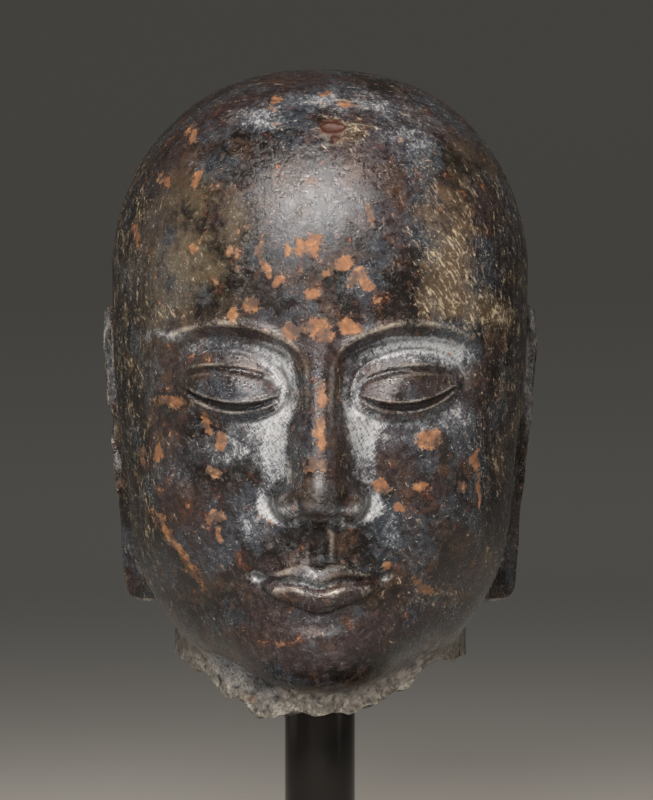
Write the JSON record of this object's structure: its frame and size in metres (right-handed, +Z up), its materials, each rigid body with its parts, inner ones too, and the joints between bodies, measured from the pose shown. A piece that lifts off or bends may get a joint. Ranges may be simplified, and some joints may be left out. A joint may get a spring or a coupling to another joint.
{
  "type": "arhat head",
  "caption": "Carved dark stone head of a shaven monk with long ears and a broken neck, held up by a black steel rod on a flat foot plate.",
  "frame": {"origin": "middle of the foot plate's underside, on the rod's axis", "axes": "+Z up along the rod, -Y the way the face looks, +X to the right of a viewer who faces it"},
  "size_m": [0.22, 0.2454, 0.401],
  "materials": {
    "dark_stone": "worn polish with pale bloom and traces of orange clay",
    "black_steel": "satin black"
  },
  "bodies": {
    "root": {"head": "dark_stone", "rod": "black_steel", "foot": "black_steel"}
  },
  "joints": []
}
